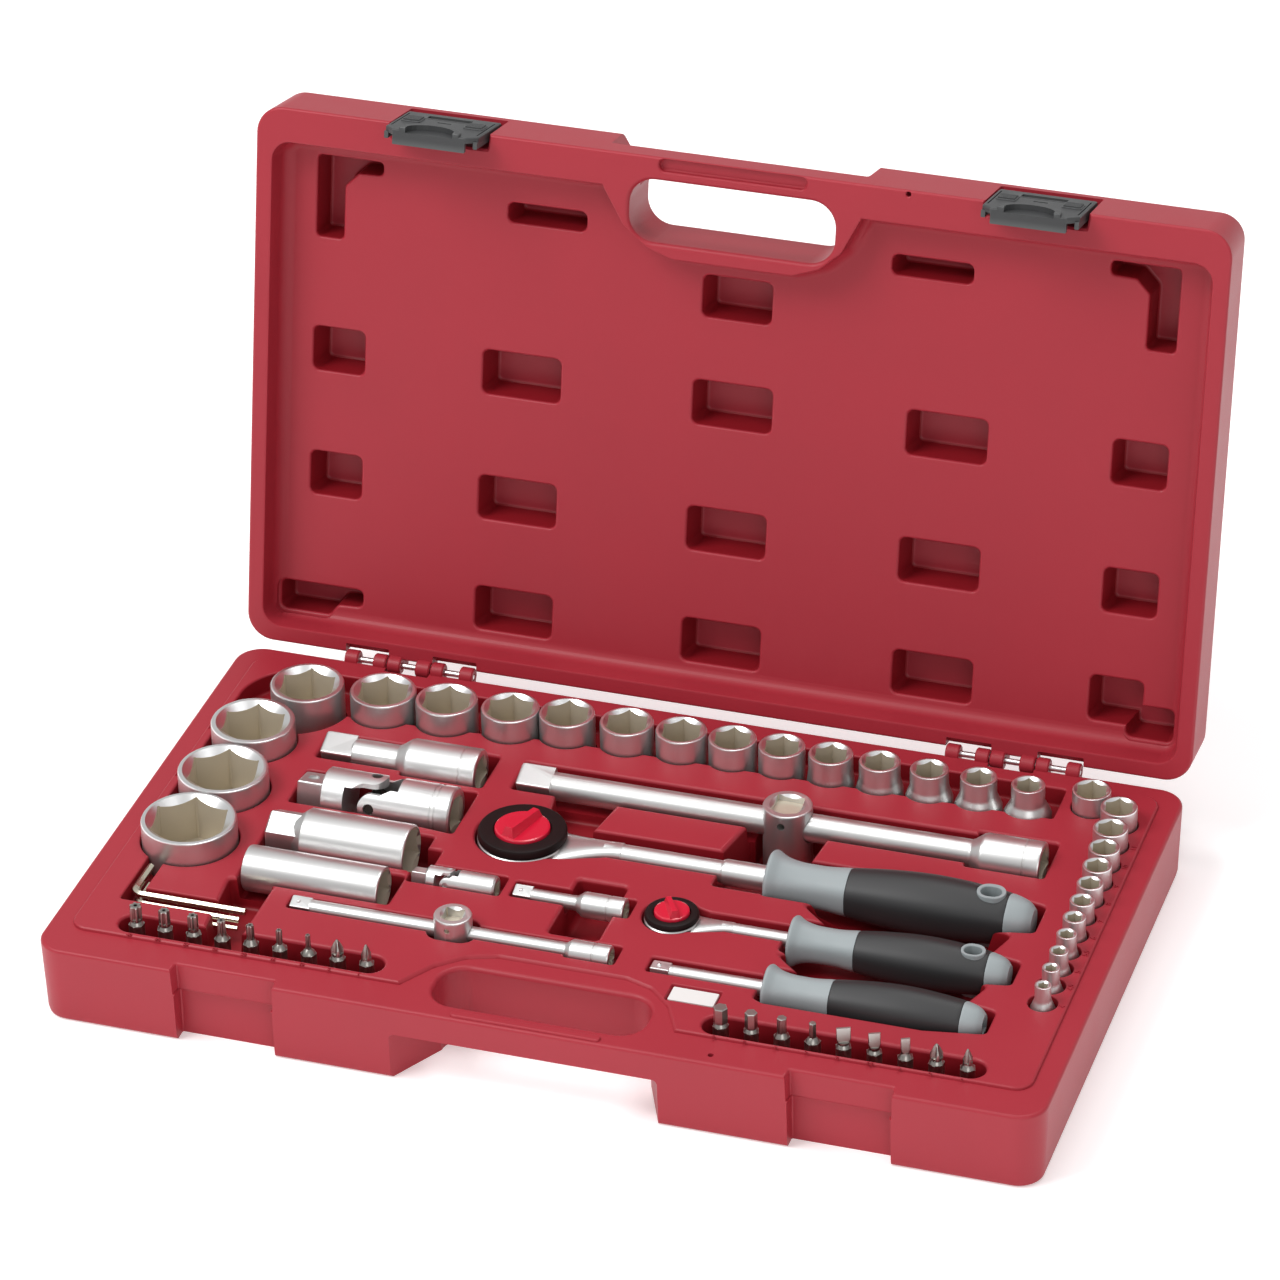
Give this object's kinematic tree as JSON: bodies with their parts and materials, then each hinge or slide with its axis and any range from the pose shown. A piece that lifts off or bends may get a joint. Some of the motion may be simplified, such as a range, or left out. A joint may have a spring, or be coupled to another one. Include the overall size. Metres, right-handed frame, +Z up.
{
  "type": "socket wrench set in case",
  "caption": "Hinged double-wall carrying case with latches, tray of hexagon sockets, ratchets, extensions, joints, keys and bits.",
  "frame": {"origin": "middle of the flat underside of the case base", "axes": "+X along the long side to the right, -Y to the front with the grip and the latch bays, +Z up"},
  "size_m": [0.458, 0.3479, 0.3037],
  "materials": {
    "case_red": "satin, fine moulded grain",
    "latch_grey": "satin",
    "pin_steel": "bright",
    "tool_steel": "satin chrome plate",
    "grip": "soft-touch, black over grey",
    "dial_red": "gloss",
    "nickel": "nickel plate",
    "bit_steel": "dark tempered steel"
  },
  "bodies": {
    "base": {"case_base": "case_red", "hinge_pin_left": "pin_steel", "hinge_pin_right": "pin_steel"},
    "lid": {"case_lid": "case_red"},
    "left_latch": {"latch_left": "latch_grey"},
    "right_latch": {"latch_right": "latch_grey"},
    "half_socket_32_body": {"half_socket_32": "tool_steel"},
    "half_socket_30_body": {"half_socket_30": "tool_steel"},
    "half_socket_27_body": {"half_socket_27": "tool_steel"},
    "half_socket_24_body": {"half_socket_24": "tool_steel"},
    "half_socket_22_body": {"half_socket_22": "tool_steel"},
    "half_socket_21_body": {"half_socket_21": "tool_steel"},
    "half_socket_20_body": {"half_socket_20": "tool_steel"},
    "half_socket_19_body": {"half_socket_19": "tool_steel"},
    "half_socket_18_body": {"half_socket_18": "tool_steel"},
    "half_socket_17_body": {"half_socket_17": "tool_steel"},
    "half_socket_16_body": {"half_socket_16": "tool_steel"},
    "half_socket_15_body": {"half_socket_15": "tool_steel"},
    "half_socket_14_body": {"half_socket_14": "tool_steel"},
    "half_socket_13_body": {"half_socket_13": "tool_steel"},
    "half_socket_12_body": {"half_socket_12": "tool_steel"},
    "half_socket_11_body": {"half_socket_11": "tool_steel"},
    "half_socket_10_body": {"half_socket_10": "tool_steel"},
    "quarter_socket_13_body": {"quarter_socket_13": "tool_steel"},
    "quarter_socket_12_body": {"quarter_socket_12": "tool_steel"},
    "quarter_socket_11_body": {"quarter_socket_11": "tool_steel"},
    "quarter_socket_10_body": {"quarter_socket_10": "tool_steel"},
    "quarter_socket_09_body": {"quarter_socket_09": "tool_steel"},
    "quarter_socket_08_body": {"quarter_socket_08": "tool_steel"},
    "quarter_socket_07_body": {"quarter_socket_07": "tool_steel"},
    "quarter_socket_06_body": {"quarter_socket_06": "tool_steel"},
    "quarter_socket_05_5_body": {"quarter_socket_05_5": "tool_steel"},
    "quarter_socket_05_body": {"quarter_socket_05": "tool_steel"},
    "quarter_socket_04_5_body": {"quarter_socket_04_5": "tool_steel"},
    "quarter_socket_04_body": {"quarter_socket_04": "tool_steel"},
    "short_extension": {"half_extension_short": "tool_steel"},
    "half_universal_joint": {"half_universal_joint_male_fork": "tool_steel"},
    "half_universal_joint_centre": {"half_universal_joint_cross": "tool_steel"},
    "half_universal_joint_end": {"half_universal_joint_female_fork": "tool_steel"},
    "spark_plug_socket_21_body": {"spark_plug_socket_21": "tool_steel"},
    "spark_plug_socket_16_body": {"spark_plug_socket_16": "tool_steel"},
    "extension_bar": {"half_extension_bar": "tool_steel"},
    "sliding_head": {"half_sliding_head": "tool_steel"},
    "half_ratchet": {"half_ratchet_body": "tool_steel", "half_ratchet_grip": "grip"},
    "half_dial": {"half_ratchet_dial": "dial_red"},
    "half_drive": {"half_ratchet_drive": "tool_steel"},
    "quarter_ratchet": {"quarter_ratchet_body": "tool_steel", "quarter_ratchet_grip": "grip"},
    "quarter_dial": {"quarter_ratchet_dial": "dial_red"},
    "quarter_drive": {"quarter_ratchet_drive": "tool_steel"},
    "spinner": {"spinner_shaft": "tool_steel", "spinner_grip": "grip"},
    "sliding_bar": {"quarter_sliding_bar": "tool_steel"},
    "small_sliding_head": {"quarter_sliding_head": "tool_steel"},
    "small_universal_joint": {"quarter_universal_joint": "tool_steel"},
    "small_extension": {"quarter_extension": "tool_steel"},
    "hex_key_set": {"hex_keys": "nickel"},
    "left_bits": {"bits_left": "bit_steel"},
    "right_bits": {"bits_right": "bit_steel"}
  },
  "joints": [
    {"name": "lid_hinge", "type": "hinge", "parent": "base", "child": "lid", "pos_m": [0, 0.1334, 0.038], "axis": [-1, 0, 0], "range_deg": [-101, 0]},
    {"name": "left_latch_pivot", "type": "hinge", "parent": "lid", "child": "left_latch", "pos_m": [-0.14, 0.20283, 0.29039], "axis": [-1, 0, 0], "range_deg": [-3, 70]},
    {"name": "right_latch_pivot", "type": "hinge", "parent": "lid", "child": "right_latch", "pos_m": [0.14, 0.20283, 0.29039], "axis": [-1, 0, 0], "range_deg": [-3, 70]},
    {"name": "half_universal_joint_swing", "type": "hinge", "parent": "half_universal_joint", "child": "half_universal_joint_centre", "pos_m": [-0.1227, 0.0215, 0.038], "axis": [0, 0.2079, 0.9781], "range_deg": [-5, 5]},
    {"name": "half_universal_joint_bend", "type": "hinge", "parent": "half_universal_joint_centre", "child": "half_universal_joint_end", "pos_m": [-0.1227, 0.0215, 0.038], "axis": [0, -0.9781, 0.2079], "range_deg": [0, 25]},
    {"name": "sliding_head_travel", "type": "slide", "parent": "extension_bar", "child": "sliding_head", "axis": [1, 0, 0], "range_m": [-0.002, 0.008]},
    {"name": "half_dial_turn", "type": "hinge", "parent": "half_ratchet", "child": "half_dial", "pos_m": [-0.0495, 0.012, 0.043], "axis": [0, 0, 1], "range_deg": [-30, 30]},
    {"name": "half_drive_turn", "type": "hinge", "parent": "half_ratchet", "child": "half_drive", "pos_m": [-0.0495, 0.012, 0.022], "axis": [0, 0, 1], "continuous": true},
    {"name": "quarter_dial_turn", "type": "hinge", "parent": "quarter_ratchet", "child": "quarter_dial", "pos_m": [0.0347, -0.0311, 0.042], "axis": [0, 0, 1], "range_deg": [-30, 30]},
    {"name": "quarter_drive_turn", "type": "hinge", "parent": "quarter_ratchet", "child": "quarter_drive", "pos_m": [0.0347, -0.0311, 0.028], "axis": [0, 0, 1], "continuous": true},
    {"name": "small_sliding_head_travel", "type": "slide", "parent": "sliding_bar", "child": "small_sliding_head", "axis": [1, 0, 0], "range_m": [-0.0015, 0.0015]},
    {"name": "half_socket_32_body_lift", "type": "slide", "parent": "base", "child": "half_socket_32_body", "axis": [0, 0, 1], "range_m": [0, 0.06]},
    {"name": "half_socket_30_body_lift", "type": "slide", "parent": "base", "child": "half_socket_30_body", "axis": [0, 0, 1], "range_m": [0, 0.06]},
    {"name": "half_socket_27_body_lift", "type": "slide", "parent": "base", "child": "half_socket_27_body", "axis": [0, 0, 1], "range_m": [0, 0.06]},
    {"name": "half_socket_24_body_lift", "type": "slide", "parent": "base", "child": "half_socket_24_body", "axis": [0, 0, 1], "range_m": [0, 0.06]},
    {"name": "half_socket_22_body_lift", "type": "slide", "parent": "base", "child": "half_socket_22_body", "axis": [0, 0, 1], "range_m": [0, 0.06]},
    {"name": "half_socket_21_body_lift", "type": "slide", "parent": "base", "child": "half_socket_21_body", "axis": [0, 0, 1], "range_m": [0, 0.06]},
    {"name": "half_socket_20_body_lift", "type": "slide", "parent": "base", "child": "half_socket_20_body", "axis": [0, 0, 1], "range_m": [0, 0.06]},
    {"name": "half_socket_19_body_lift", "type": "slide", "parent": "base", "child": "half_socket_19_body", "axis": [0, 0, 1], "range_m": [0, 0.06]},
    {"name": "half_socket_18_body_lift", "type": "slide", "parent": "base", "child": "half_socket_18_body", "axis": [0, 0, 1], "range_m": [0, 0.06]},
    {"name": "half_socket_17_body_lift", "type": "slide", "parent": "base", "child": "half_socket_17_body", "axis": [0, 0, 1], "range_m": [0, 0.06]},
    {"name": "half_socket_16_body_lift", "type": "slide", "parent": "base", "child": "half_socket_16_body", "axis": [0, 0, 1], "range_m": [0, 0.06]},
    {"name": "half_socket_15_body_lift", "type": "slide", "parent": "base", "child": "half_socket_15_body", "axis": [0, 0, 1], "range_m": [0, 0.06]},
    {"name": "half_socket_14_body_lift", "type": "slide", "parent": "base", "child": "half_socket_14_body", "axis": [0, 0, 1], "range_m": [0, 0.06]},
    {"name": "half_socket_13_body_lift", "type": "slide", "parent": "base", "child": "half_socket_13_body", "axis": [0, 0, 1], "range_m": [0, 0.06]},
    {"name": "half_socket_12_body_lift", "type": "slide", "parent": "base", "child": "half_socket_12_body", "axis": [0, 0, 1], "range_m": [0, 0.06]},
    {"name": "half_socket_11_body_lift", "type": "slide", "parent": "base", "child": "half_socket_11_body", "axis": [0, 0, 1], "range_m": [0, 0.06]},
    {"name": "half_socket_10_body_lift", "type": "slide", "parent": "base", "child": "half_socket_10_body", "axis": [0, 0, 1], "range_m": [0, 0.06]},
    {"name": "quarter_socket_13_body_lift", "type": "slide", "parent": "base", "child": "quarter_socket_13_body", "axis": [0, 0, 1], "range_m": [0, 0.045]},
    {"name": "quarter_socket_12_body_lift", "type": "slide", "parent": "base", "child": "quarter_socket_12_body", "axis": [0, 0, 1], "range_m": [0, 0.045]},
    {"name": "quarter_socket_11_body_lift", "type": "slide", "parent": "base", "child": "quarter_socket_11_body", "axis": [0, 0, 1], "range_m": [0, 0.045]},
    {"name": "quarter_socket_10_body_lift", "type": "slide", "parent": "base", "child": "quarter_socket_10_body", "axis": [0, 0, 1], "range_m": [0, 0.045]},
    {"name": "quarter_socket_09_body_lift", "type": "slide", "parent": "base", "child": "quarter_socket_09_body", "axis": [0, 0, 1], "range_m": [0, 0.045]},
    {"name": "quarter_socket_08_body_lift", "type": "slide", "parent": "base", "child": "quarter_socket_08_body", "axis": [0, 0, 1], "range_m": [0, 0.045]},
    {"name": "quarter_socket_07_body_lift", "type": "slide", "parent": "base", "child": "quarter_socket_07_body", "axis": [0, 0, 1], "range_m": [0, 0.045]},
    {"name": "quarter_socket_06_body_lift", "type": "slide", "parent": "base", "child": "quarter_socket_06_body", "axis": [0, 0, 1], "range_m": [0, 0.045]},
    {"name": "quarter_socket_05_5_body_lift", "type": "slide", "parent": "base", "child": "quarter_socket_05_5_body", "axis": [0, 0, 1], "range_m": [0, 0.045]},
    {"name": "quarter_socket_05_body_lift", "type": "slide", "parent": "base", "child": "quarter_socket_05_body", "axis": [0, 0, 1], "range_m": [0, 0.045]},
    {"name": "quarter_socket_04_5_body_lift", "type": "slide", "parent": "base", "child": "quarter_socket_04_5_body", "axis": [0, 0, 1], "range_m": [0, 0.045]},
    {"name": "quarter_socket_04_body_lift", "type": "slide", "parent": "base", "child": "quarter_socket_04_body", "axis": [0, 0, 1], "range_m": [0, 0.045]},
    {"name": "short_extension_lift", "type": "slide", "parent": "base", "child": "short_extension", "axis": [0, 0, 1], "range_m": [0, 0.08]},
    {"name": "half_universal_joint_lift", "type": "slide", "parent": "base", "child": "half_universal_joint", "axis": [0, 0, 1], "range_m": [0, 0.07]},
    {"name": "spark_plug_socket_21_body_lift", "type": "slide", "parent": "base", "child": "spark_plug_socket_21_body", "axis": [0, 0, 1], "range_m": [0, 0.08]},
    {"name": "spark_plug_socket_16_body_lift", "type": "slide", "parent": "base", "child": "spark_plug_socket_16_body", "axis": [0, 0, 1], "range_m": [0, 0.07]},
    {"name": "extension_bar_lift", "type": "slide", "parent": "base", "child": "extension_bar", "axis": [0, 0, 1], "range_m": [0, 0.09]},
    {"name": "half_ratchet_lift", "type": "slide", "parent": "base", "child": "half_ratchet", "axis": [0, 0, 1], "range_m": [0, 0.08]},
    {"name": "quarter_ratchet_lift", "type": "slide", "parent": "base", "child": "quarter_ratchet", "axis": [0, 0, 1], "range_m": [0, 0.07]},
    {"name": "spinner_lift", "type": "slide", "parent": "base", "child": "spinner", "axis": [0, 0, 1], "range_m": [0, 0.06]},
    {"name": "sliding_bar_lift", "type": "slide", "parent": "base", "child": "sliding_bar", "axis": [0, 0, 1], "range_m": [0, 0.06]},
    {"name": "small_universal_joint_lift", "type": "slide", "parent": "base", "child": "small_universal_joint", "axis": [0, 0, 1], "range_m": [0, 0.05]},
    {"name": "small_extension_lift", "type": "slide", "parent": "base", "child": "small_extension", "axis": [0, 0, 1], "range_m": [0, 0.05]},
    {"name": "hex_key_set_lift", "type": "slide", "parent": "base", "child": "hex_key_set", "axis": [0, 0, 1], "range_m": [0, 0.04]},
    {"name": "left_bits_lift", "type": "slide", "parent": "base", "child": "left_bits", "axis": [0, 0, 1], "range_m": [0, 0.04]},
    {"name": "right_bits_lift", "type": "slide", "parent": "base", "child": "right_bits", "axis": [0, 0, 1], "range_m": [0, 0.04]}
  ]
}
